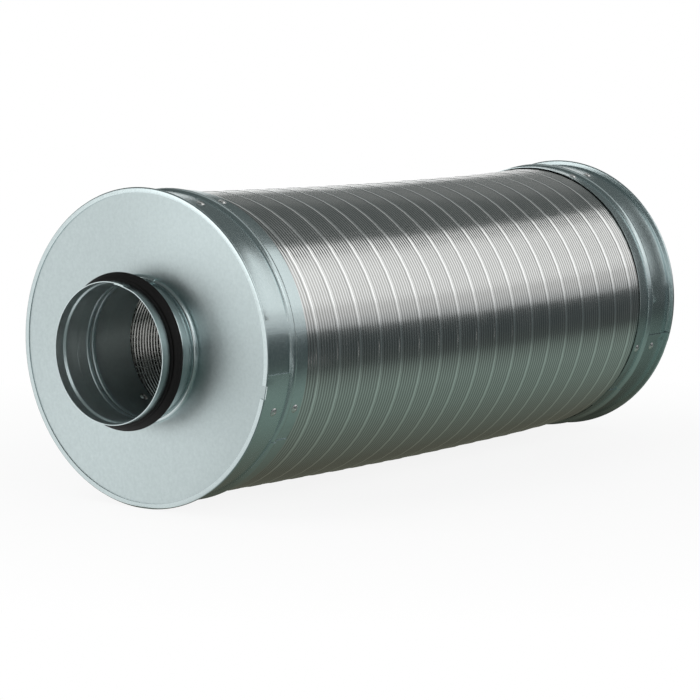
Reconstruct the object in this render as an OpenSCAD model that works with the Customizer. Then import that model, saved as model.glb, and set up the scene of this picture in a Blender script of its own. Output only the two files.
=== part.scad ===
// Round duct sound attenuator: a corrugated aluminium casing packed with mineral wool around a
// perforated inner duct, closed at both ends by a hemmed galvanised plate with a sealed spigot.
// The duct axis is X, the front spigot points to -X, and the origin is the middle of the body.

/* [Body] */
// Distance between the outer faces of the two end rims
body_length = 536; // [360:1:1000]
// Diameter of the casing over its ribs
casing_d = 214.4; // [190:0.2:320]
// Diameter of the spigots over the plain tube
spigot_d = 99; // [79:0.5:120]
// Thickness of the galvanised sheet in plates, bands and spigots
sheet = 0.6; // [0.4:0.05:0.9]

/* [Corrugated casing] */
// Wall of the corrugated aluminium strip
foil = 0.5; // [0.35:0.05:0.7]
// Width of the wound strip, from lock seam to lock seam
strip_pitch = 24.3; // [18:0.1:36]
// Ribs on the width of one strip, its lock seam among them
strip_ribs = 8; // [6:1:12]
// Height of the ribs
rib_h = 1.1; // [0.6:0.05:1.4]
// How far the lock seam stands above the ribs
seam_rise = 0.25; // [0.1:0.05:0.4]

/* [End bands] */
// Width of a band, from the rim face to its free edge
band_w = 48; // [40:0.5:70]
// Distance of the stiffening bead from the band's free edge
bead_from_edge = 15.5; // [12:0.5:18]
// Width of the stiffening bead
bead_w = 6.5; // [5:0.25:9]
// Height of the stiffening bead
bead_h = 2; // [1.2:0.1:2.4]
// How far the rim stands above the band
rim_h = 3.9; // [3:0.1:6]
// Width of the hem that is folded over the edge of the end plate
hem_w = 3.7; // [2.4:0.1:5]

/* [Spigots] */
// How far a spigot stands out from its end plate
spigot_reach = 35.5; // [30:0.5:60]
// How far a spigot reaches into the inner duct, behind its end plate
sleeve_depth = 41; // [30:0.5:70]
// Width of each of the two beads that hold the end plate between them
lock_bead_w = 4.8; // [4:0.1:6]
// Height of those beads above the tube
lock_bead_h = 2.8; // [2.4:0.1:3.2]
// Plain length from the mouth to the seal's groove
lead_in = 8.2; // [6:0.1:10]
// Depth of the seal's groove
groove_h = 1.5; // [1:0.1:2]

/* [Seals] */
// Width of the rubber seal
seal_w = 11.9; // [10:0.1:13]
// Height of the seal's lip above the tube
lip_h = 5.5; // [3:0.1:7]
// Thickness of the lip at its tip
lip_t = 1.1; // [0.8:0.1:1.6]
// Height of the fin in front of the lip
fin_h = 1.4; // [0.6:0.1:2]

/* [Inner duct and filling] */
// Height of the inner duct's ribs
duct_rib_h = 0.9; // [0.5:0.05:1.2]
// Wall of the inner duct
duct_foil = 0.4; // [0.35:0.05:0.6]
// Diameter of the inner duct's holes
hole_d = 2.4; // [1.5:0.1:2.8]
// Number of holes in each ring of the inner duct
ring_holes = 8; // [4:2:12]
// Thickness of the fleece around the inner duct
fleece_t = 0.8; // [0.5:0.1:2]

/* [Rivets] */
// Diameter of a rivet's shank
rivet_d = 3.2; // [2.4:0.1:4]
// Diameter of a rivet's head
head_d = 6.2; // [5:0.1:7]
// Height of a rivet's head
head_h = 1.3; // [0.8:0.1:1.8]
// Diameter of the hole that the pulled mandrel leaves in a head
mandrel_d = 1.8; // [1:0.1:2]
// Diameter of the swelled end behind the sheets
bulb_d = 4.5; // [4:0.1:6]
// Length of the swelled end
bulb_l = 3.5; // [2.5:0.1:5]
// Pairs of rivets around each band
rivet_pairs = 4; // [3:1:8]
// Turn of the first pair, from the top towards +Y
pair_turn = 69.5; // [0:0.5:90]
// Distance of the rim-side rivets from the middle of the bead
rivet_to_bead = 13.5; // [10:0.5:15]
// Rivets around each spigot's sleeve
sleeve_rivets = 3; // [3:1:6]
// Turn of the first sleeve rivet, from the top towards +Y
sleeve_turn = 143.5; // [0:0.5:180]
// Distance of those rivets from the end of the sleeve
rivet_from_end = 8.5; // [7:0.5:10]

/* [Clearances] */
// Gap between a round piece and the one that it sits in
slip = 0.25; // [0.15:0.05:0.4]
// Gap between faces that are pressed together
face_gap = 0.05; // [0.02:0.01:0.1]

/* [Hidden] */
$fn = 72;

zinc_colour = [0.66, 0.71, 0.72];
aluminium_colour = [0.76, 0.76, 0.74];
rubber_colour = [0.06, 0.06, 0.06];
wool_colour = [0.72, 0.66, 0.42];
fleece_colour = [0.12, 0.12, 0.12];

// End of the body: x runs from the rim face towards the middle
plate_x = sheet + face_gap;
plate_back = plate_x + sheet;
flange_x = plate_back + face_gap;
fold_r = (flange_x + sheet) / 2;
casing_r = casing_d / 2;
plain_r = casing_r + seam_rise;
band_ri = plain_r + slip;
band_ro = band_ri + sheet;
rim_r = band_ro + rim_h;
plate_r = rim_r - fold_r;
bead_x = band_w - bead_from_edge;

// Spigot: the end plate sits between its two lock beads
spigot_r = spigot_d / 2;
spigot_ri = spigot_r - sheet;
lock_r = bead_radius(lock_bead_w, lock_bead_h);
lock_front_x = plate_x - face_gap - lock_r;
lock_back_x = plate_back + face_gap + lock_r;
mouth_x = plate_x - spigot_reach;
sleeve_x = plate_back + sleeve_depth;
groove_x = mouth_x + lead_in;
groove_w = seal_w + 2 * face_gap;

// Wound walls: ribbed between the bands or sleeves, plain for a short way under them
rib_pitch = strip_pitch / strip_ribs;
seam_rib = floor(strip_ribs / 2);
cover = 2;
wall_end = body_length / 2 - plate_back - slip;
casing_ribs = floor((body_length - 2 * (band_w - cover)) / rib_pitch);
duct_ri = spigot_r + slip;
duct_end = body_length / 2 - lock_back_x - lock_r - slip;
duct_ribs = floor((body_length - 2 * (sleeve_x - cover)) / rib_pitch);
fleece_ri = duct_ri + duct_rib_h + duct_foil + slip;
wool_ri = max(fleece_ri + fleece_t, spigot_r + lock_bead_h) + slip;
wool_ro = casing_r - rib_h - foil - slip;

// Rivets: the radius that each head sits on, and the sheets that each one grips
shank_hole_d = rivet_d + 2 * face_gap;
pocket_d = bulb_d + 2 * slip;
band_seat = band_ro + face_gap;
band_grip = band_seat - plain_r + foil + face_gap;
sleeve_seat = sqrt(pow(spigot_ri, 2) - pow(head_d / 2, 2)) - face_gap;
sleeve_grip = duct_ri + duct_foil + face_gap - sleeve_seat;
rim_row = bead_x - rivet_to_bead;
casing_row = band_w - (bead_from_edge - bead_w / 2) / 2;
sleeve_row = sleeve_x - rivet_from_end;

// Radius of the arc through the feet and the crest of a bead
function bead_radius(w, h) = (w * w / 4 + h * h) / (2 * h);

// Corners of one rib: place on its pitch and share of its height
function is_seam(rib) = rib % strip_ribs == seam_rib;
function is_land(rib) = rib % strip_ribs == 0;
function rib_corners(rib, lands) =
    is_seam(rib) ? [[0, 0], [0.2, 1], [0.8, 1]] : lands && is_land(rib) ? [[0, 0]] : [[0, 0], [0.5, 1]];

// One side of a wound wall: a plain end, the row of ribs, and the other plain end
// A wall with lands is flat once per strip, midway between its seams, where it is perforated
function wound_side(foot, height, rise, end_r, ribs, end, lands) =
    let (half = ribs * rib_pitch / 2)
    concat([[end_r, -end], [end_r, -half - rib_pitch / 2]],
           [for (i = [0 : ribs - 1]) for (c = rib_corners(i, lands))
               [foot + c[1] * (height + (is_seam(i) ? rise : 0)), (i + c[0]) * rib_pitch - half]],
           [[foot, half], [end_r, half + rib_pitch / 2], [end_r, end]]);

// Half circle of the hem's fold around the edge of the plate, from one side of it to the other
function fold(r, way) = [for (a = [-90 : 15 : 90]) [plate_r + r * cos(a), fold_r + way * r * sin(a)]];

// A profile of radius and X, turned around the duct axis
module revolved() {
    rotate([0, 90, 0]) rotate_extrude() children();
}

// Turned about the duct axis, from the top towards +Y
module around(turn) {
    rotate([-turn, 0, 0]) children();
}

// Equal turns about the duct axis
module ring(count, turn) {
    for (i = [0 : count - 1]) around(turn + i * 360 / count) children();
}

// The front end, with x from its rim face
module front() {
    translate([-body_length / 2, 0, 0]) children();
}

// The rear end, a mirror image of the front
module rear() {
    mirror([1, 0, 0]) front() children();
}

// A wound strip wall, from one side's profile and the wall to its other side
module wound_wall(side, wall) {
    revolved() polygon(concat(side, [for (i = [len(side) - 1 : -1 : 0]) side[i] + [wall, 0]]));
}

// A straight sheet wall in profile, with round beads pressed outwards
module beaded_wall(ri, x0, x1, beads, w, h) {
    bead_r = bead_radius(w, h);
    centre = ri + sheet + h - bead_r;
    difference() {
        union() {
            translate([ri, x0]) square([sheet, x1 - x0]);
            for (x = beads) translate([centre, x]) circle(r = bead_r);
        }
        for (x = beads) {
            translate([centre, x]) circle(r = bead_r - sheet);
            translate([0, x - 2 * bead_r]) square([ri, 4 * bead_r]);
        }
    }
}

// A set blind rivet: domed head on z = 0, shank below it, swelled end behind the sheets
module rivet(grip) {
    dome_r = bead_radius(head_d, head_h);
    rotate_extrude() difference() {
        union() {
            intersection() {
                translate([0, head_h - dome_r]) circle(r = dome_r);
                square([head_d / 2, head_h]);
            }
            translate([0, -grip]) square([rivet_d / 2, grip + head_h / 3]);
            translate([0, -grip - bulb_l]) square([bulb_d / 2, bulb_l]);
        }
        translate([0, head_h / 3]) square([mandrel_d / 2, head_h]);
    }
}

// Radial holes for one row of rivet shanks
module shank_holes(x, r, count, turn) {
    ring(count, turn) translate([x, 0, r - pocket_d]) cylinder(d = shank_hole_d, h = 2 * pocket_d);
}

// Room around the swelled ends of one row of band rivets
module band_pockets(x) {
    pocket_z = band_seat - band_grip - bulb_l - slip;
    ring(rivet_pairs, pair_turn) translate([x, 0, pocket_z])
        cylinder(d = pocket_d, h = band_ro - pocket_z);
}

// Room around the swelled ends of the sleeve rivets
module sleeve_pockets() {
    ring(sleeve_rivets, sleeve_turn) translate([sleeve_row, 0, duct_ri])
        cylinder(d = pocket_d, h = sleeve_seat + sleeve_grip + bulb_l + slip - duct_ri);
}

// Corrugated aluminium casing, riveted inside the two bands
module outer_casing() {
    side = wound_side(casing_r - rib_h, rib_h, seam_rise, plain_r, casing_ribs, wall_end, false);
    color(aluminium_colour) difference() {
        wound_wall(side, -foil);
        front() shank_holes(rim_row, plain_r, rivet_pairs, pair_turn);
        front() shank_holes(casing_row, plain_r, rivet_pairs, pair_turn);
        rear() shank_holes(rim_row, plain_r, rivet_pairs, pair_turn);
        rear() shank_holes(casing_row, plain_r, rivet_pairs, pair_turn);
    }
}

// Sound-absorbing wool between the casing and the inner duct
module mineral_wool() {
    color(wool_colour) difference() {
        revolved() translate([wool_ri, -wall_end]) square([wool_ro - wool_ri, 2 * wall_end]);
        front() band_pockets(rim_row);
        front() band_pockets(casing_row);
        front() sleeve_pockets();
        rear() band_pockets(rim_row);
        rear() band_pockets(casing_row);
        rear() sleeve_pockets();
    }
}

// Fleece wrapped around the inner duct, which keeps fibres out of the air
module fleece_wrap() {
    color(fleece_colour) difference() {
        revolved() translate([fleece_ri, -duct_end]) square([fleece_t, 2 * duct_end]);
        front() sleeve_pockets();
        rear() sleeve_pockets();
    }
}

// Perforated inner duct, pushed over the two sleeves and riveted to them
module inner_duct() {
    side = wound_side(duct_ri, duct_rib_h, 0, duct_ri, duct_ribs, duct_end, true);
    color(aluminium_colour) difference() {
        wound_wall(side, duct_foil);
        for (i = [strip_ribs : strip_ribs : duct_ribs - strip_ribs])
            ring(ring_holes / 2, i / strip_ribs % 2 * 180 / ring_holes)
                translate([(i + 0.5 - duct_ribs / 2) * rib_pitch, 0, 0])
                    cylinder(d = hole_d, h = 4 * duct_ri, center = true);
        front() shank_holes(sleeve_row, duct_ri, sleeve_rivets, sleeve_turn);
        rear() shank_holes(sleeve_row, duct_ri, sleeve_rivets, sleeve_turn);
    }
}

// Flat ring plate, gripped by the band's hem outside and the spigot's beads inside
module end_plate() {
    plate_ri = spigot_r + slip;
    color(zinc_colour) revolved() translate([plate_ri, plate_x]) square([plate_r - plate_ri, sheet]);
}

// Beaded band with a flange behind the plate and a hem folded over the plate's edge
module band() {
    lip_r = rim_r - hem_w;
    color(zinc_colour) difference() {
        revolved() {
            beaded_wall(band_ri, flange_x, band_w, [bead_x], bead_w, bead_h);
            polygon(concat([[lip_r, 0]], fold(fold_r, 1), [[band_ri, 2 * fold_r], [band_ri, flange_x]],
                           fold(fold_r - sheet, -1), [[lip_r, sheet]]));
        }
        shank_holes(rim_row, band_ri, rivet_pairs, pair_turn);
        shank_holes(casing_row, band_ri, rivet_pairs, pair_turn);
    }
}

// Spigot tube with the seal's groove, the two lock beads and the sleeve behind the plate
module spigot() {
    locks = [lock_front_x, lock_back_x];
    color(zinc_colour) difference() {
        revolved() difference() {
            union() {
                beaded_wall(spigot_ri, mouth_x, sleeve_x, locks, lock_bead_w, lock_bead_h);
                translate([spigot_ri - groove_h, groove_x - sheet])
                    square([groove_h + sheet / 2, groove_w + 2 * sheet]);
            }
            translate([spigot_r - groove_h, groove_x]) square([2 * groove_h, groove_w]);
        }
        shank_holes(sleeve_row, spigot_ri, sleeve_rivets, sleeve_turn);
    }
}

// Rubber ring in the spigot's groove, with a small fin and a lip that leans towards the plate
module seal() {
    base_r = spigot_r - groove_h + face_gap;
    base_x = groove_x + face_gap;
    tip_r = spigot_r + lip_h - lip_t / 2;
    tip_x = base_x + seal_w / 2;
    color(rubber_colour) revolved() {
        translate([base_r, base_x]) square([groove_h, seal_w]);
        translate([base_r, base_x]) square([groove_h + fin_h, lip_t]);
        polygon([[spigot_r - lip_t, base_x + 2 * lip_t], [tip_r, tip_x - lip_t / 2],
                 [tip_r, tip_x + lip_t / 2], [spigot_r - lip_t, tip_x + lip_t]]);
        translate([tip_r, tip_x]) circle(r = lip_t / 2);
    }
}

// One row of rivets around a band
module band_row(x) {
    color(aluminium_colour) ring(rivet_pairs, pair_turn) translate([x, 0, band_seat]) rivet(band_grip);
}

// The rivets of one sleeve, set from inside
module sleeve_ring() {
    color(aluminium_colour) ring(sleeve_rivets, sleeve_turn)
        translate([sleeve_row, 0, sleeve_seat]) rotate([180, 0, 0]) rivet(sleeve_grip);
}

outer_casing();
mineral_wool();
fleece_wrap();
inner_duct();
front() end_plate();  // front_end_plate
front() band();  // front_band
front() spigot();  // front_spigot
front() seal();  // front_seal
front() band_row(rim_row);  // front_band_rivets
front() band_row(casing_row);  // front_casing_rivets
front() sleeve_ring();  // front_spigot_rivets
rear() end_plate();  // rear_end_plate
rear() band();  // rear_band
rear() spigot();  // rear_spigot
rear() seal();  // rear_seal
rear() band_row(rim_row);  // rear_band_rivets
rear() band_row(casing_row);  // rear_casing_rivets
rear() sleeve_ring();  // rear_spigot_rivets
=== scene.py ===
import math

import bpy
from mathutils import Matrix, Vector, noise


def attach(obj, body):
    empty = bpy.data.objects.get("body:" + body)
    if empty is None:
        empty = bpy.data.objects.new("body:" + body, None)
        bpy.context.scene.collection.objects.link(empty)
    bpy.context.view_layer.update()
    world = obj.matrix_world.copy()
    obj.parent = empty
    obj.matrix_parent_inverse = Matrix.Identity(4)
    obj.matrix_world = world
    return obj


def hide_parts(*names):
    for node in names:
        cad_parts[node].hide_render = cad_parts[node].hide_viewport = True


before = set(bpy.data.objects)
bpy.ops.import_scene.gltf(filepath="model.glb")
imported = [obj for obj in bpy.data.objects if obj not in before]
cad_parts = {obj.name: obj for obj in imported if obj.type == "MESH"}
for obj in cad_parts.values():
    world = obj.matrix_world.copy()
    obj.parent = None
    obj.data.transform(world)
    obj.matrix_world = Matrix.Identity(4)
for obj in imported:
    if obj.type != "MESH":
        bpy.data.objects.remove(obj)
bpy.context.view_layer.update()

# Inner duct: a round duct wound from thin ribbed aluminium strip, with rows of small holes punched into the
# grooves between its ribs. Three grooves of each turn stay plain. Its ends slide over the sleeves of the two
# spigots and are riveted there.
mm = 0.001
strip = 24.3 * mm
strip_ribs = 8
strip_turns = 24
rib_pitch = strip / strip_ribs
weld_reach = 0.01 * mm
duct_bore = 49.75 * mm
duct_rib = 0.55 * mm
duct_half = 261.6 * mm
duct_waste = 1.15 * strip
duct_segments = 140
rib_end, groove_start, groove_end = 0.30, 0.40, 0.90
groove_floor = duct_bore + 0.8 * duct_rib
plain_grooves = (3, 4, 5)


def draw_line(name, points):
    """A new mesh that is a line through the points, extruded vertex by vertex."""
    bpy.ops.object.select_all(action="DESELECT")
    bpy.ops.mesh.primitive_plane_add(size=mm)
    piece = bpy.context.object
    piece.name = piece.data.name = name
    bpy.ops.object.mode_set(mode="EDIT")
    bpy.ops.mesh.merge(type="CENTER")
    bpy.ops.transform.translate(value=points[0])
    for here, there in zip(points, points[1:]):
        step = Vector(there) - Vector(here)
        bpy.ops.mesh.extrude_vertices_move(TRANSFORM_OT_translate={"value": step})
    bpy.ops.object.mode_set(mode="OBJECT")
    return piece


def wind(piece, advance, turns, segments, angle=2 * math.pi, joined=True):
    """Winds a line round the duct axis, each turn one advance further, and joins the turns if wanted."""
    screw = piece.modifiers.new("Winding", "SCREW")
    screw.axis = "X"
    screw.angle = angle
    screw.screw_offset = advance
    screw.iterations = turns
    screw.steps = screw.render_steps = segments
    bpy.ops.object.modifier_apply(modifier=screw.name)
    if joined:
        bpy.ops.object.mode_set(mode="EDIT")
        bpy.ops.mesh.select_all(action="SELECT")
        bpy.ops.mesh.remove_doubles(threshold=weld_reach)
        bpy.ops.object.mode_set(mode="OBJECT")


def cut_square(piece, half_length):
    """Cuts both ends of a wound tube square to its axis."""
    bpy.ops.object.mode_set(mode="EDIT")
    for side in (-1, 1):
        bpy.ops.mesh.select_all(action="SELECT")
        bpy.ops.mesh.bisect(plane_co=(side * half_length, 0, 0), plane_no=(side, 0, 0), clear_outer=True)
    bpy.ops.mesh.select_all(action="SELECT")
    bpy.ops.mesh.delete_loose()
    bpy.ops.object.mode_set(mode="OBJECT")


def cut_out(piece, unwanted):
    """Cuts the faces out of a sheet that pass a test."""
    bpy.ops.object.mode_set(mode="EDIT")
    bpy.ops.mesh.select_mode(type="FACE")
    bpy.ops.mesh.select_all(action="DESELECT")
    bpy.ops.object.mode_set(mode="OBJECT")
    for face in piece.data.polygons:
        face.select = unwanted(face)
    bpy.ops.object.mode_set(mode="EDIT")
    bpy.ops.mesh.delete(type="FACE")
    bpy.ops.mesh.select_mode(type="VERT")
    bpy.ops.object.mode_set(mode="OBJECT")


def face_normals(inside=False):
    """Turns all faces of the active piece the same way."""
    bpy.ops.object.mode_set(mode="EDIT")
    bpy.ops.mesh.select_all(action="SELECT")
    bpy.ops.mesh.normals_make_consistent(inside=inside)
    bpy.ops.object.mode_set(mode="OBJECT")


def turn_of(co):
    """How far round the axis a point lies, from the top over the near side, as a part of a whole turn."""
    return math.atan2(-co.y, co.z) / (2 * math.pi) % 1.0


duct_start = -duct_half - duct_waste
duct_rib_shape = ((0.0, duct_bore), (rib_end, duct_bore),
                  (groove_start, duct_bore + duct_rib), (groove_end, duct_bore + duct_rib))
duct_line = []
for i in range(strip_ribs):
    for place, radius in duct_rib_shape:
        duct_line.append((duct_start + (i + place) * rib_pitch, 0, radius))
duct_line.append((duct_start + strip, 0, duct_bore))
inner_duct = draw_line("perforated_duct", duct_line)
wind(inner_duct, strip, strip_turns, duct_segments)


def punched(face):
    """Whether a face at the bottom of a groove is one of the holes."""
    corners = [inner_duct.data.vertices[v].co for v in face.vertices]
    if min(math.hypot(c.y, c.z) for c in corners) < groove_floor:
        return False
    turn = turn_of(face.center)
    along = (face.center.x - duct_start - turn * strip) % strip
    return int(turn * duct_segments) % 2 == 0 and int(along / rib_pitch) not in plain_grooves


cut_out(inner_duct, punched)
cut_square(inner_duct, duct_half)
face_normals(inside=True)
bpy.ops.object.shade_smooth_by_angle(angle=math.radians(20))


def finish_of(name):
    """A new material with its nodes, its links and its shader."""
    material = bpy.data.materials.new(name)
    material.use_nodes = True
    nodes, links = material.node_tree.nodes, material.node_tree.links
    return material, nodes, links, nodes["Principled BSDF"]


def round_coords(nodes, links):
    """Object coordinates unrolled round the duct axis: the place along it, then the turn in radians."""
    place = nodes.new("ShaderNodeTexCoord")
    split = nodes.new("ShaderNodeSeparateXYZ")
    links.new(place.outputs["Object"], split.inputs[0])
    turn = nodes.new("ShaderNodeMath")
    turn.operation = "ARCTAN2"
    links.new(split.outputs["Y"], turn.inputs[0])
    links.new(split.outputs["Z"], turn.inputs[1])
    unrolled = nodes.new("ShaderNodeCombineXYZ")
    links.new(split.outputs["X"], unrolled.inputs["X"])
    links.new(turn.outputs[0], unrolled.inputs["Y"])
    return unrolled.outputs[0]


def grain(nodes, links, coords, scale, detail=3.0, roughness=0.55):
    """Noise stretched by a scale for each of the coordinates."""
    stretch = nodes.new("ShaderNodeMapping")
    stretch.inputs["Scale"].default_value = scale
    links.new(coords, stretch.inputs["Vector"])
    speckle = nodes.new("ShaderNodeTexNoise")
    speckle.inputs["Scale"].default_value = 1.0
    speckle.inputs["Detail"].default_value = detail
    speckle.inputs["Roughness"].default_value = roughness
    links.new(stretch.outputs[0], speckle.inputs["Vector"])
    return speckle.outputs["Fac"]


def ranged(nodes, links, value, low, high, start=0.3, end=0.7):
    """A value from start to end, mapped to low to high."""
    span = nodes.new("ShaderNodeMapRange")
    span.inputs["From Min"].default_value = start
    span.inputs["From Max"].default_value = end
    span.inputs["To Min"].default_value = low
    span.inputs["To Max"].default_value = high
    links.new(value, span.inputs["Value"])
    return span.outputs[0]


def shaded(nodes, links, value, dark, light, start=0.3, end=0.7):
    """A colour between two, by a value from start to end."""
    ramp = nodes.new("ShaderNodeValToRGB")
    ramp.color_ramp.elements[0].position = start
    ramp.color_ramp.elements[1].position = end
    ramp.color_ramp.elements[0].color = (*dark, 1)
    ramp.color_ramp.elements[1].color = (*light, 1)
    links.new(value, ramp.inputs["Fac"])
    return ramp.outputs["Color"]


def raised(nodes, links, shader, height, strength, distance):
    """Lets a value stand out of the surface as fine relief."""
    bump = nodes.new("ShaderNodeBump")
    bump.inputs["Strength"].default_value = strength
    bump.inputs["Distance"].default_value = distance
    links.new(height, bump.inputs["Height"])
    links.new(bump.outputs["Normal"], shader.inputs["Normal"])


# The duct's colour is darker than bare aluminium: painted shade for the deep bore, where little light
# reaches.
duct_shade_dark, duct_shade_light = (0.35, 0.355, 0.34), (0.44, 0.445, 0.43)
mill_aluminium, nodes, links, shader = finish_of("mill_aluminium")
unrolled = round_coords(nodes, links)
drawn = grain(nodes, links, unrolled, scale=(900.0, 3.0, 1.0))
cloudy = grain(nodes, links, unrolled, scale=(60.0, 4.0, 1.0), detail=2.0)
links.new(shaded(nodes, links, drawn, duct_shade_dark, duct_shade_light), shader.inputs["Base Color"])
links.new(ranged(nodes, links, cloudy, low=0.15, high=0.22), shader.inputs["Roughness"])
shader.inputs["Metallic"].default_value = 1.0
inner_duct.data.materials.append(mill_aluminium)
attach(inner_duct, "root")
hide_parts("inner_duct")

# Fleece: a black non-woven cloth wrapped once round the perforated duct, which keeps the fibres of the wool
# out of the air stream. It lies close to the duct, with the slight waves of a cloth drawn round a tube.
fleece_radius = 51.8 * mm
fleece_thick = 0.6 * mm
fleece_sides, fleece_rows = 96, 120
fleece_dark, fleece_light = (0.012, 0.012, 0.012), (0.05, 0.05, 0.05)


def tube(name, radius, length, sides, rows):
    """An open tube round the duct axis, cut into rows along its length, in object mode."""
    bpy.ops.object.select_all(action="DESELECT")
    bpy.ops.mesh.primitive_cylinder_add(vertices=sides, radius=radius, depth=length, end_fill_type="NOTHING",
                                        rotation=(0, math.pi / 2, 0))
    piece = bpy.context.object
    piece.name = piece.data.name = name
    bpy.ops.object.transform_apply(location=True, rotation=True, scale=True)
    bpy.ops.object.mode_set(mode="EDIT")
    bpy.ops.mesh.select_mode(type="EDGE")
    bpy.ops.mesh.select_all(action="DESELECT")
    bpy.ops.object.mode_set(mode="OBJECT")
    for edge in piece.data.edges:
        a, b = (piece.data.vertices[v].co for v in edge.vertices)
        edge.select = abs(a.x - b.x) > length / 2
    bpy.ops.object.mode_set(mode="EDIT")
    bpy.ops.mesh.subdivide(number_cuts=rows - 1)
    bpy.ops.mesh.select_mode(type="VERT")
    bpy.ops.object.mode_set(mode="OBJECT")
    return piece


def ruffle(piece, size, depth):
    """Works uneven waves of a size and a depth into a surface."""
    clouds = bpy.data.textures.new(piece.name + "_waves", "CLOUDS")
    clouds.noise_scale = size
    clouds.noise_depth = 2
    waves = piece.modifiers.new("Waves", "DISPLACE")
    waves.texture = clouds
    waves.texture_coords = "LOCAL"
    waves.strength = depth
    waves.mid_level = 0.5
    bpy.ops.object.modifier_apply(modifier=waves.name)


def thicken(piece, thickness, offset, inside_slot=0):
    """Gives a surface the thickness of its sheet, and the inside a material slot of its own if wanted."""
    wall = piece.modifiers.new("Thickness", "SOLIDIFY")
    wall.thickness = thickness
    wall.offset = offset
    wall.material_offset = inside_slot
    bpy.ops.object.modifier_apply(modifier=wall.name)


fleece = tube("fleece_wrapping", fleece_radius, 2 * duct_half, fleece_sides, fleece_rows)
face_normals()
ruffle(fleece, size=12 * mm, depth=0.35 * mm)
thicken(fleece, fleece_thick, offset=0)
bpy.ops.object.shade_smooth()

black_fleece, nodes, links, shader = finish_of("black_fleece")
unrolled = round_coords(nodes, links)
fibres = grain(nodes, links, unrolled, scale=(1800.0, 90.0, 1.0), detail=5.0)
links.new(shaded(nodes, links, fibres, fleece_dark, fleece_light), shader.inputs["Base Color"])
shader.inputs["Roughness"].default_value = 0.95
shader.inputs["Sheen Weight"].default_value = 0.3
raised(nodes, links, shader, fibres, strength=0.6, distance=0.1 * mm)
fleece.data.materials.append(black_fleece)
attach(fleece, "root")
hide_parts("fleece_wrap")

# Filling: mineral wool laid round the fleece in matting, and held by the casing and the end plates.
# It is soft, so its outside is lumpy, and between the two bands it sinks a little with the casing.
wool_outer = 104.8 * mm
wool_inner = 52.6 * mm
wool_half = 266.4 * mm
wool_rows, wool_segments = 90, 120
wool_skin = 1.0 * mm
wool_dark, wool_light = (0.34, 0.27, 0.11), (0.66, 0.57, 0.33)
band_edge = 220 * mm
sag_reach = band_edge + 8 * mm
sag_depth = 3.7 * mm
sag_lean = 0.2
sag_fullness = 0.8


def sink(piece):
    """Lets the outside sink between the two bands, a little more towards the rear."""
    firm, soft = wool_inner + wool_skin, wool_outer - wool_skin
    for v in piece.data.vertices:
        part = v.co.x / sag_reach
        give = min(max((math.hypot(v.co.y, v.co.z) - firm) / (soft - firm), 0.0), 1.0)
        if abs(part) < 1:
            v.co.z -= give * sag_depth * (1 - part * part) ** sag_fullness * (1 + sag_lean * part)


wool_section = [((2 * i / wool_rows - 1) * wool_half, 0, wool_outer) for i in range(wool_rows + 1)]
wool_section += [(x, 0, wool_inner) for x, _, _ in reversed(wool_section)] + wool_section[:1]
wool = draw_line("wool_filling", wool_section)
wind(wool, advance=0, turns=1, segments=wool_segments)
face_normals()
ruffle(wool, size=9 * mm, depth=0.9 * mm)
sink(wool)
bpy.ops.object.shade_smooth()

mineral_wool, nodes, links, shader = finish_of("mineral_wool")
place = nodes.new("ShaderNodeTexCoord").outputs["Object"]
strands = grain(nodes, links, place, scale=(500.0, 1500.0, 1500.0), detail=6.0)
links.new(shaded(nodes, links, strands, wool_dark, wool_light), shader.inputs["Base Color"])
shader.inputs["Roughness"].default_value = 1.0
raised(nodes, links, shader, strands, strength=0.9, distance=0.8 * mm)
wool.data.materials.append(mineral_wool)
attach(wool, "root")
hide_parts("mineral_wool")

# Casing: aluminium strip rolled into eight ribs and wound into one long tube, each turn hooked to the next by
# a lock seam that stands up as a wider, flatter rib. The thin tube is pushed under both bands and riveted
# there, and between them it is a little uneven and sinks with the wool.
casing_crest = 107.2 * mm
casing_rib = 0.5 * mm
rib_lean = 0.12 * mm
casing_foil = 0.12 * mm
casing_half = 262 * mm
casing_segments = 64
seam_rib = 4
seam_low, seam_step, seam_high = -0.13 * mm, 0.14 * mm, 0.28 * mm
seam_place = -213.25 * mm
strips_before = 3
uneven = 0.3 * mm
uneven_size = 60 * mm

casing_start = seam_place - (seam_rib + 0.5) * rib_pitch - strips_before * strip
crest, valley = casing_crest, casing_crest - casing_rib
plain_shape = ((0.08, valley), (0.30, crest - rib_lean), (0.70, crest), (0.92, valley))
seam_shape = ((-0.06, valley), (0.06, crest + seam_low), (0.28, crest + seam_low), (0.50, crest + seam_step),
              (0.98, crest + seam_high), (1.06, valley))
casing_line = []
for i in range(strip_ribs):
    for place_in_rib, radius in seam_shape if i == seam_rib else plain_shape:
        casing_line.append((casing_start + (i + place_in_rib) * rib_pitch, 0, radius))
casing_line.append((casing_line[0][0] + strip, 0, casing_line[0][2]))
casing = draw_line("wound_casing", casing_line)
wind(casing, strip, strip_turns, casing_segments)
cut_square(casing, casing_half)
face_normals()
for v in casing.data.vertices:
    swell = 1 + uneven * noise.noise(v.co / uneven_size) / casing_crest
    v.co.y *= swell
    v.co.z *= swell
sink(casing)
thicken(casing, casing_foil, offset=-1)
bpy.ops.object.shade_smooth_by_angle(angle=math.radians(12))


def sums(nodes, links, kind, first, second):
    """One step of arithmetic on two values, each a socket or a number."""
    step = nodes.new("ShaderNodeMath")
    step.operation = kind
    for socket, value in zip(step.inputs, (first, second)):
        if isinstance(value, (int, float)):
            socket.default_value = value
        else:
            links.new(value, socket)
    return step.outputs[0]


# The valleys between the ribs are darker than the crests: partly a duller oxide, partly painted shade in the
# hollows.
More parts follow.
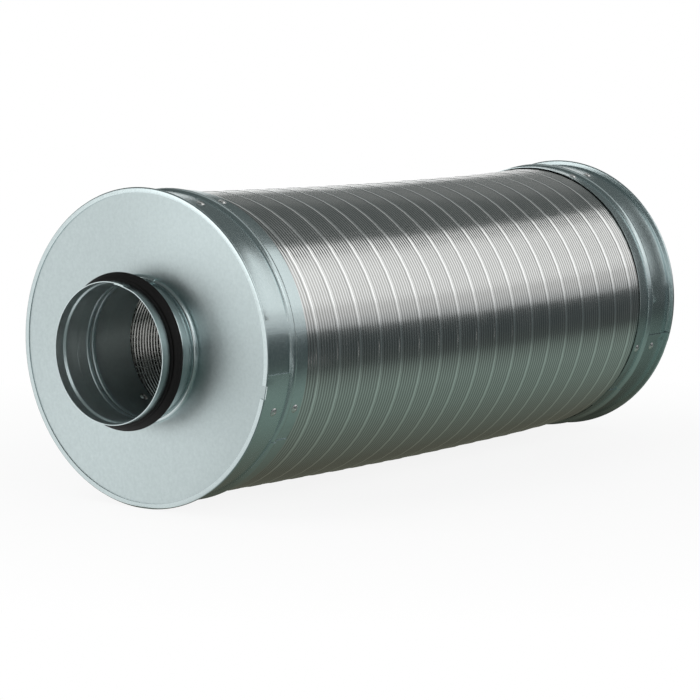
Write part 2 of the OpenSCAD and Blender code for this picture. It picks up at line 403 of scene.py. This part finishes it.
valley_oxide_and_shade, crest_colour = (0.43, 0.43, 0.42), (0.73, 0.73, 0.72)
# The lock seam is painted much lighter than the ribs: a painted highlight along the seam.
seam_painted_highlight = (0.95, 0.95, 0.94, 1)
seam_middle = (seam_rib + 0.72) / strip_ribs
seam_inner, seam_outer = 0.026, 0.038
whole_strips = 100
strips_ahead = whole_strips - casing_start / strip
wound_aluminium, nodes, links, shader = finish_of("wound_aluminium")
unrolled = round_coords(nodes, links)
split = nodes.new("ShaderNodeSeparateXYZ")
links.new(unrolled, split.inputs[0])
strips_along = sums(nodes, links, "DIVIDE", split.outputs["X"], strip)
strips_round = sums(nodes, links, "MULTIPLY", split.outputs["Y"], 1 / (2 * math.pi))
wound_along = sums(nodes, links, "ADD", strips_along, strips_round)
in_strip = sums(nodes, links, "ADD", wound_along, strips_ahead)
in_rib = sums(nodes, links, "PINGPONG", sums(nodes, links, "MULTIPLY", in_strip, strip_ribs), 0.5)
from_seam = sums(nodes, links, "PINGPONG", sums(nodes, links, "SUBTRACT", in_strip, seam_middle), 0.5)
on_seam = ranged(nodes, links, from_seam, low=1.0, high=0.0, start=seam_inner, end=seam_outer)
seam_highlight = nodes.new("ShaderNodeMix")
seam_highlight.data_type = "RGBA"
links.new(on_seam, seam_highlight.inputs["Factor"])
rib_oxide_and_shade = shaded(nodes, links, in_rib, valley_oxide_and_shade, crest_colour, start=0.22, end=0.34)
links.new(rib_oxide_and_shade, seam_highlight.inputs["A"])
seam_highlight.inputs["B"].default_value = seam_painted_highlight
cloudy = grain(nodes, links, unrolled, scale=(60.0, 4.0, 1.0), detail=2.0)
links.new(seam_highlight.outputs["Result"], shader.inputs["Base Color"])
links.new(ranged(nodes, links, cloudy, low=0.17, high=0.21), shader.inputs["Roughness"])
shader.inputs["Metallic"].default_value = 1.0
casing.data.materials.append(wound_aluminium)
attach(casing, "root")
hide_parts("outer_casing")

# End plates: flat rings cut from galvanised steel sheet, with a fine grain that runs round the axis. The hem
# of the band grips the outer edge of each plate, and two beads of the spigot clamp its inner edge.
plate_dark, plate_light = (0.49, 0.567, 0.572), (0.56, 0.64, 0.645)
plate_grain = 0.65


def zinc(name, roughness, bend_marks=0.0, dark=(0.55, 0.635, 0.642), light=(0.60, 0.685, 0.692)):
    """The finish of galvanised sheet, with shallow marks of a depth where the sheet was rolled round."""
    material, nodes, links, shader = finish_of(name)
    place = nodes.new("ShaderNodeTexCoord").outputs["Object"]
    skin = grain(nodes, links, place, scale=(420.0, 420.0, 420.0), detail=4.0, roughness=0.6)
    links.new(shaded(nodes, links, skin, dark, light), shader.inputs["Base Color"])
    links.new(ranged(nodes, links, skin, roughness - 0.02, roughness + 0.02), shader.inputs["Roughness"])
    shader.inputs["Metallic"].default_value = 1.0
    if bend_marks:
        marks = grain(nodes, links, round_coords(nodes, links), scale=(15.0, 27.0, 1.0), detail=2.0)
        raised(nodes, links, shader, marks, strength=1.0, distance=bend_marks)
    return material


def dress(material, *node_names):
    """Gives CAD nodes their finish."""
    for node_name in node_names:
        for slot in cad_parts[node_name].material_slots:
            slot.material = material


flat_zinc = zinc("flat_zinc", roughness=0.35, dark=plate_dark, light=plate_light)
nodes, links = flat_zinc.node_tree.nodes, flat_zinc.node_tree.links
split = nodes.new("ShaderNodeSeparateXYZ")
links.new(nodes["Texture Coordinate"].outputs["Object"], split.inputs[0])
outward = nodes.new("ShaderNodeCombineXYZ")
links.new(split.outputs["Y"], outward.inputs["Y"])
links.new(split.outputs["Z"], outward.inputs["Z"])
links.new(outward.outputs[0], nodes["Principled BSDF"].inputs["Tangent"])
nodes["Principled BSDF"].inputs["Anisotropic"].default_value = plate_grain
dress(flat_zinc, "front_end_plate", "rear_end_plate")

# Spigots: tubes rolled from the same sheet, with a lap near the top, a rolled groove for the seal and two
# beads that clamp the plate. Behind the plate each one is a sleeve, riveted inside the perforated duct.
# Sections are in mm, from the rim face inwards and from the axis outwards.
rim_face = 268 * mm
sheet = 0.6 * mm
sheet_step = 2.0
lap_clear = 1.03 * sheet
tube_mid = 49.2
mouth_place = -34.85
groove_front, groove_back, groove_mid, groove_roll = -25.5, -15.2, 47.9, 2.3
lock_places, lock_centre, lock_mid, lock_blend = (-1.83, 3.73), 49.87, 2.13, 0.4
sleeve_line, sleeve_mid, sleeve_end, sleeve_ease = 17.5, 49.3, 42.25, 0.5
spigot_lap_start, spigot_lap, spigot_lap_ease = 7.0, 10.0, 14.0
rear_spigot_turn = 180


def arc(across, out, radius, start, end, parts):
    """Points on an arc in a section, with its centre across and out, in mm, from start to end degrees."""
    for i in range(parts + 1):
        turn = math.radians(start + (end - start) * i / parts)
        yield across + radius * math.cos(turn), out + radius * math.sin(turn)


def eased(value, start, end):
    """From nothing at start to one at end, with soft ends."""
    part = min(max((value - start) / (end - start), 0.0), 1.0)
    return part * part * (3 - 2 * part)


def step_line(start, end, low, high, parts):
    """Points of a soft step in a section, from one radius to another."""
    for i in range(parts + 1):
        x = start + (end - start) * i / parts
        yield x, low + (high - low) * eased(x, start, end)


lock_open = math.degrees(math.asin((lock_centre - tube_mid) / lock_mid))
lock_reach = lock_mid * math.cos(math.radians(lock_open))
spigot_section = [(mouth_place, tube_mid)]
spigot_section += step_line(groove_front - groove_roll, groove_front, tube_mid, groove_mid, 8)
spigot_section += step_line(groove_back, groove_back + groove_roll, groove_mid, tube_mid, 8)
for lock in lock_places:
    spigot_section.append((lock - lock_reach - lock_blend, tube_mid))
    spigot_section += arc(lock, lock_centre, lock_mid, 180 + lock_open, -lock_open, 12)
spigot_section.append((lock_places[-1] + lock_reach + lock_blend, tube_mid))
spigot_section += step_line(sleeve_line - sleeve_ease, sleeve_line + sleeve_ease, tube_mid, sleeve_mid, 4)
spigot_section.append((sleeve_end, sleeve_mid))


def rolled_sheet(name, section, turns):
    """A section of the front end, in mm from the rim face, rolled round the axis for so many degrees."""
    piece = draw_line(name, [(x * mm - rim_face, 0, r * mm) for x, r in section])
    steps = round(turns / sheet_step)
    wind(piece, advance=0, turns=1, segments=steps, angle=math.radians(turns), joined=False)
    return piece


def along_sheet(v, section):
    """How far along a rolled sheet a point lies, in degrees from its first end."""
    return v.index // len(section) * sheet_step


def press_in(v, depth):
    """Moves a point of a rolled sheet towards the axis."""
    closer = 1 - depth / math.hypot(v.co.y, v.co.z)
    v.co.y *= closer
    v.co.z *= closer


def take(piece):
    """Makes a piece the active one, with nothing else selected."""
    bpy.ops.object.select_all(action="DESELECT")
    piece.select_set(True)
    bpy.context.view_layer.objects.active = piece


def turn_about_axis(piece, degrees):
    """Turns a piece about the duct axis, with its place kept in its mesh."""
    piece.rotation_euler = (math.radians(degrees), 0, 0)
    bpy.ops.object.transform_apply(location=True, rotation=True, scale=True)


def rear_copy(piece, name, degrees):
    """The mirror image of a front piece at the rear end, turned about the axis."""
    take(piece)
    bpy.ops.object.duplicate()
    copy = bpy.context.object
    copy.name = copy.data.name = name
    copy.scale = (-1, 1, 1)
    turn_about_axis(copy, degrees)
    return copy


def finish_sheet(piece, node_name, outside, inside=None):
    """Gives a rolled sheet its thickness, its finishes and its place in the frame."""
    take(piece)
    face_normals()
    piece.data.materials.append(outside)
    piece.data.materials.append(inside or outside)
    thicken(piece, sheet, offset=0, inside_slot=1)
    bpy.ops.object.shade_smooth_by_angle(angle=math.radians(35))
    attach(piece, "root")
    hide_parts(node_name)


front_spigot = rolled_sheet("front_stub", spigot_section, 360 + spigot_lap)
for v in front_spigot.data.vertices:
    outer_lap = eased(along_sheet(v, spigot_section), spigot_lap, spigot_lap + spigot_lap_ease)
    press_in(v, lap_clear * (1 - outer_lap))
turn_about_axis(front_spigot, spigot_lap_start)
rear_spigot = rear_copy(front_spigot, "rear_stub", rear_spigot_turn)
rolled_zinc = zinc("rolled_zinc", roughness=0.24, bend_marks=0.03 * mm)
inside_zinc = zinc("inside_zinc", roughness=0.35)
inside_zinc.node_tree.nodes["Principled BSDF"].inputs["Metallic"].default_value = 0.93
finish_sheet(front_spigot, "front_spigot", rolled_zinc, inside_zinc)
finish_sheet(rear_spigot, "rear_spigot", rolled_zinc, inside_zinc)

# Bands: collars rolled from the same sheet, with a bead, a flange and a hem that is folded over the rim of
# the plate. The ends of the sheet lap, and rivets hold the band to the casing. The upper end is cut back
# beside the bead, and the front of the hem has a short gap at the lap.
lip_place, lip_foot = 0.3, 108.5
fold_place, fold_centre, fold_mid = 0.95, 111.25, 0.65
corner_place, corner_centre, corner_mid = 2.2, 108.6, 0.6
wall_place, wall_mid = 15, 108.0
bead_place, bead_centre, bead_mid, bead_blend = 32.5, 106.66, 3.34, 0.5
bead_foot = bead_place - math.sqrt(bead_mid ** 2 - (wall_mid - bead_centre) ** 2)
bead_side = bead_foot - 0.1
band_width = 48.0
edge_flare = 0.1
end_lift, lift_length = 0.3, 5
lap_start, lap_length, lap_cut_back = 96.0, 39.0, 29.0
flange_dip, bead_dip = (334, 358), (378, 388)
lip_width, corner_line, hem_width = 1.0, 2.1, 2.3
hem_reach, hem_gap = 4.0, 4.0
rear_band_turn = 9

bead_open = math.degrees(math.asin((wall_mid - bead_centre) / bead_mid))
band_section = [(lip_place, lip_foot), *arc(fold_place, fold_centre, fold_mid, 180, 0, 8),
                *arc(corner_place, corner_centre, corner_mid, 180, 270, 4),
                (wall_place, wall_mid), (bead_foot - bead_blend, wall_mid),
                *arc(bead_place, bead_centre, bead_mid, 180 - bead_open, bead_open, 10),
                (2 * bead_place - bead_foot + bead_blend, wall_mid), (band_width, wall_mid + edge_flare)]
front_band = rolled_sheet("front_collar", band_section, 360 + lap_length)


def across(v):
    """How far from the rim face a point of the front band lies, in mm."""
    return (v.co.x + rim_face) / mm


for v in front_band.data.vertices:
    if across(v) > corner_line:
        along = along_sheet(v, band_section)
        under = lap_clear * eased(along, *(flange_dip if across(v) < bead_side else bead_dip))
        press_in(v, under - end_lift * mm * (1 - eased(along, 0, lift_length)))


def cut_away(face):
    """Whether a face lies where the sheet of the band is cut back at its lap."""
    points = [front_band.data.vertices[v] for v in face.vertices]
    far = max(along_sheet(v, band_section) for v in points)
    inner = max(across(v) for v in points)
    beside_bead = min(across(v) for v in points) > bead_side and far <= lap_cut_back
    doubled_hem = inner < hem_width and far > 360 and not (inner < lip_width and far <= 360 + hem_reach)
    hem_end = inner < lip_width and far <= hem_reach + hem_gap
    return beside_bead or doubled_hem or hem_end


cut_out(front_band, cut_away)
turn_about_axis(front_band, lap_start)
rear_band = rear_copy(front_band, "rear_collar", rear_band_turn)
band_zinc = zinc("band_zinc", roughness=0.24, bend_marks=0.04 * mm)
finish_sheet(front_band, "front_band", band_zinc)
finish_sheet(rear_band, "rear_band", band_zinc)

# Seals: rings of black rubber, each moulded in one piece and stretched into the groove of its spigot. A low
# fin at the front and a lip, which a duct folds back, close the gap to the duct.
seal_front, seal_back, seal_foot, seal_top = -26.2, -14.7, 48.25, 49.5
seal_segments = 160
fin_height, fin_thick = 50.7, 0.5
lip_root_front, lip_root_back = -24.4, -17.6
tip_place, tip_radius, tip_round = -20.65, 54.45, 0.55
rubber_dark, rubber_light = (0.006, 0.006, 0.006), (0.011, 0.010, 0.010)


def lip_side(root, tip, parts):
    """Points of one side of the lip, which stands up from its root and bends over towards its tip."""
    for i in range(parts + 1):
        part = i / parts
        yield root + (tip - root) * part ** 2, seal_top + (tip_radius - seal_top) * part


seal_section = [(seal_front, seal_foot),
                *arc(seal_front + fin_thick, fin_height - fin_thick, fin_thick, 180, 0, 6),
                (seal_front + 2 * fin_thick, seal_top), *lip_side(lip_root_front, tip_place - tip_round, 10),
                *list(arc(tip_place, tip_radius, tip_round, 180, 0, 8))[1:-1],
                *reversed(list(lip_side(lip_root_back, tip_place + tip_round, 8))),
                (seal_back, seal_top), (seal_back, seal_foot), (seal_front, seal_foot)]
front_seal = draw_line("front_gasket", [(x * mm - rim_face, 0, r * mm) for x, r in seal_section])
wind(front_seal, advance=0, turns=1, segments=seal_segments)
rear_seal = rear_copy(front_seal, "rear_gasket", degrees=0)

seal_rubber, nodes, links, shader = finish_of("seal_rubber")
unrolled = round_coords(nodes, links)
moulded = grain(nodes, links, unrolled, scale=(700.0, 40.0, 1.0), detail=4.0)
links.new(shaded(nodes, links, moulded, rubber_dark, rubber_light), shader.inputs["Base Color"])
links.new(ranged(nodes, links, moulded, low=0.45, high=0.6), shader.inputs["Roughness"])
shader.inputs["Specular IOR Level"].default_value = 0.17
raised(nodes, links, shader, moulded, strength=0.3, distance=0.05 * mm)
for end, piece in (("front", front_seal), ("rear", rear_seal)):
    take(piece)
    face_normals()
    bpy.ops.object.shade_smooth_by_angle(angle=math.radians(40))
    piece.data.materials.append(seal_rubber)
    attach(piece, "root")
    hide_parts(end + "_seal")

# Rivets: blind rivets of aluminium with a domed head and the hole that the pulled mandrel leaves. They stand
# in pairs beside the bead of each band, and singly inside the sleeve of each spigot.
rivet_dark, rivet_light = (0.66, 0.66, 0.65), (0.82, 0.82, 0.81)
rivet_aluminium, nodes, links, shader = finish_of("rivet_aluminium")
place = nodes.new("ShaderNodeTexCoord").outputs["Object"]
set_marks = grain(nodes, links, place, scale=(900.0, 900.0, 900.0), detail=3.0)
links.new(shaded(nodes, links, set_marks, rivet_dark, rivet_light), shader.inputs["Base Color"])
links.new(ranged(nodes, links, set_marks, low=0.2, high=0.34), shader.inputs["Roughness"])
shader.inputs["Metallic"].default_value = 1.0
for end in ("front", "rear"):
    dress(rivet_aluminium, end + "_band_rivets", end + "_casing_rivets", end + "_spigot_rivets")

# Floor: a plain pale studio floor under the two rims, which rises to a low white wall all round. It shows
# nearly white to the camera and to the metal, and keeps a faint shadow close to the object.
floor_level = -112.2 * mm
floor_radius = 5.0
wall_height = 1.3
near_white, near_reach, far_reach = 0.88, 0.2, 0.6
bpy.ops.object.select_all(action="DESELECT")
bpy.ops.mesh.primitive_circle_add(vertices=128, radius=floor_radius, fill_type="NGON",
                                  location=(0, 0, floor_level))
floor = bpy.context.object
floor.name = floor.data.name = "floor"
bpy.ops.object.transform_apply(location=True, rotation=True, scale=True)
bpy.ops.object.mode_set(mode="EDIT")
bpy.ops.mesh.select_all(action="SELECT")
bpy.ops.mesh.region_to_loop()
bpy.ops.mesh.extrude_edges_move(TRANSFORM_OT_translate={"value": (0, 0, wall_height)})
bpy.ops.object.mode_set(mode="OBJECT")

pale_floor, nodes, links, shader = finish_of("pale_floor")
shader.inputs["Base Color"].default_value = (0.86, 0.86, 0.86, 1)
shader.inputs["Roughness"].default_value = 0.9
shader.inputs["Specular IOR Level"].default_value = 0.0
white = nodes.new("ShaderNodeEmission")
reach = nodes.new("ShaderNodeVectorMath")
reach.operation = "LENGTH"
links.new(nodes.new("ShaderNodeTexCoord").outputs["Object"], reach.inputs[0])
whiteness = ranged(nodes, links, reach.outputs["Value"], near_white, 1.0, near_reach, far_reach)
path = nodes.new("ShaderNodeLightPath")
seen = path.outputs["Is Camera Ray"]
for kind in ("Is Glossy Ray", "Is Transmission Ray"):
    seen = sums(nodes, links, "MAXIMUM", seen, path.outputs[kind])
blend = nodes.new("ShaderNodeMixShader")
links.new(sums(nodes, links, "MULTIPLY", seen, whiteness), blend.inputs["Fac"])
links.new(shader.outputs[0], blend.inputs[1])
links.new(white.outputs[0], blend.inputs[2])
links.new(blend.outputs[0], nodes["Material Output"].inputs["Surface"])
floor.data.materials.append(pale_floor)

# Studio: a dim room with large softboxes and one lamp for the shadow. Strips along both sides, dark below and
# light above, a dark and a white card near the rear end and two mats on the floor show only as reflections in
# the metal.
room_grey = (0.118, 0.133, 0.132, 1)
strip_side, stage_end = 0.6, 1.8
strip_fronts = ((-1, -1.2), (1, -0.3))
strip_levels = ((floor_level, 0.068, (0.06, 0.074, 0.076)), (0.068, 0.13, (0.58, 0.6, 0.61)),
                (0.13, 0.23, (0.76, 0.77, 0.77)))
rear_card_side, rear_card_colour = -0.45, (0.085, 0.095, 0.095)
rear_card_front, rear_card_end = (0.56, 0.90), 3.0
rear_card_tops = 0.47, 2.35
rear_light_place, rear_light_sides, rear_light_heights = 0.645, (0.13, 0.40), (0.11, 0.34)
mat_level = floor_level + 0.3 * mm
mat_joint = -0.27
front_mat_shades = ((0.02, (0.9, 0.9, 0.9)), (0.08, (0.14, 0.175, 0.165)))
# The floor mat is darkest close to the axis: a painted shadow of the object, seen in the metal's reflection
# of the floor.
floor_mat_tones_and_shadow = ((0.05, (0.105, 0.11, 0.086)), (0.13, (0.188, 0.244, 0.214)),
                    (0.20, (0.222, 0.288, 0.258)), (0.27, (0.185, 0.232, 0.21)),
                    (0.38, (0.07, 0.084, 0.082)))
rear_fade_slant, rear_fade_start, rear_fade_end, rear_fade_level = 1.1, 0.175, 0.21, 0.5
world = bpy.data.worlds.new("studio")
bpy.context.scene.world = world
world.use_nodes = True
world.node_tree.nodes["Background"].inputs["Color"].default_value = room_grey


def card(name, corners, colour=(1.0, 1.0, 1.0)):
    """A plain card with four corners, seen only in reflections."""
    bpy.ops.object.select_all(action="DESELECT")
    bpy.ops.mesh.primitive_plane_add(size=1)
    piece = bpy.context.object
    piece.name = name
    for v, corner in zip((0, 1, 3, 2), corners):
        piece.data.vertices[v].co = corner
    material, nodes, links, shader = finish_of(name)
    glow = nodes.new("ShaderNodeEmission")
    glow.inputs["Color"].default_value = (*colour, 1)
    links.new(glow.outputs[0], nodes["Material Output"].inputs["Surface"])
    piece.data.materials.append(material)
    piece.visible_camera = piece.visible_diffuse = piece.visible_shadow = False


def mat(name, front, rear, right, left, shades):
    """A card on the floor, shaded by the distance from the axis. Gives its nodes and the place on it."""
    card(name, [(front, right, mat_level), (rear, right, mat_level), (rear, left, mat_level),
                (front, left, mat_level)])
    nodes, links = bpy.data.materials[name].node_tree.nodes, bpy.data.materials[name].node_tree.links
    split = nodes.new("ShaderNodeSeparateXYZ")
    links.new(nodes.new("ShaderNodeTexCoord").outputs["Object"], split.inputs[0])
    aside = sums(nodes, links, "ABSOLUTE", split.outputs["Y"], 0)
    fade = nodes.new("ShaderNodeValToRGB")
    links.new(aside, fade.inputs["Fac"])
    stops = fade.color_ramp.elements
    stops.remove(stops[1])
    stops[0].position = shades[0][0]
    stops[0].color = (*shades[0][1], 1)
    for position, colour in shades[1:]:
        stops.new(position).color = (*colour, 1)
    links.new(fade.outputs["Color"], nodes["Emission"].inputs["Color"])
    return nodes, links, split.outputs["X"], aside


for side, strip_front in strip_fronts:
    for bottom, top, colour in strip_levels:
        card("low_strip", [(strip_front, side * strip_side, bottom), (stage_end, side * strip_side, bottom),
                           (stage_end, side * strip_side, top), (strip_front, side * strip_side, top)],
             colour)
card("rear_card", [(rear_card_front[0], rear_card_side, floor_level),
                   (rear_card_end, rear_card_side, floor_level),
                   (rear_card_end, rear_card_side, rear_card_tops[1]),
                   (rear_card_front[1], rear_card_side, rear_card_tops[0])], rear_card_colour)
near, far = rear_light_sides
low, high = rear_light_heights
card("rear_light", [(rear_light_place, near, low), (rear_light_place, far, low),
                    (rear_light_place, far, high), (rear_light_place, near, high)])
mat("front_mat", front=-0.9, rear=mat_joint, right=-0.5, left=-0.02, shades=front_mat_shades)
nodes, links, lengthwise, aside = mat("floor_mat", front=mat_joint, rear=stage_end, right=-strip_side,
                                      left=strip_side, shades=floor_mat_tones_and_shadow)
slanted = sums(nodes, links, "MULTIPLY", aside, rear_fade_slant)
past_rear = sums(nodes, links, "SUBTRACT", lengthwise, slanted)
mat_strength = ranged(nodes, links, past_rear, low=1.0, high=rear_fade_level, start=rear_fade_start,
                      end=rear_fade_end)
links.new(mat_strength, nodes["Emission"].inputs["Strength"])


def softbox(name, place, width, height, power, mirrored):
    """A lamp that faces the middle of the object. The metal mirrors it or not."""
    lamp = bpy.data.lights.new(name, "AREA")
    lamp.shape = "RECTANGLE"
    lamp.size, lamp.size_y = width, height
    lamp.energy = power
    piece = bpy.data.objects.new(name, lamp)
    piece.location = place
    piece.rotation_euler = (-Vector(place)).to_track_quat("-Z", "Y").to_euler()
    piece.visible_camera = False
    piece.visible_glossy = mirrored
    bpy.context.scene.collection.objects.link(piece)


def panel(name, azimuth, elevation, distance, width, height, level):
    """A softbox in a direction from the object, in degrees, with a level of brightness of its own."""
    a, e = math.radians(azimuth), math.radians(elevation)
    place = distance * Vector((math.cos(a) * math.cos(e), math.sin(a) * math.cos(e), math.sin(e)))
    softbox(name, place, width, height, level * math.pi * width * height, True)


panel("side_lamp", azimuth=-68, elevation=31, distance=4.8, width=8.6, height=4.4, level=0.95)
panel("front_lamp", azimuth=-128, elevation=28, distance=4.5, width=3.6, height=3.0, level=0.7)
panel("back_lamp", azimuth=59.5, elevation=13, distance=5.0, width=4.6, height=2.1, level=0.95)
panel("top_lamp", azimuth=15, elevation=68.5, distance=3.1, width=3.9, height=1.5, level=0.36)
panel("plate_lamp", azimuth=160, elevation=10, distance=2.4, width=1.5, height=0.8, level=1.0)
softbox("key_lamp", (-1.2, 1.0, 2.2), width=2.0, height=2.0, power=30, mirrored=False)

# Camera: it stands to one side of the front end and a little above the axis, and looks along the whole body,
# as in the photograph. Its axes and its place come from a fit to the rims of the two ends and the spigot.
lens_forward = Vector((0.79171, 0.60002, -0.11478))
lens_right = Vector((0.60401, -0.79698, 0.0))
lens_up = Vector((0.09148, 0.06933, 0.99339))
lens_place = Vector((-1.6266, -1.2105, 0.2089))
view_lens = bpy.data.cameras.new("camera")
view_lens.sensor_width = 36
view_lens.lens = 135.45
camera = bpy.data.objects.new("camera", view_lens)
lens_axes = Matrix((lens_right, lens_up, -lens_forward)).transposed().to_4x4()
camera.matrix_world = Matrix.Translation(lens_place) @ lens_axes
bpy.context.scene.collection.objects.link(camera)
bpy.context.scene.camera = camera
bpy.context.scene.view_settings.view_transform = "Standard"
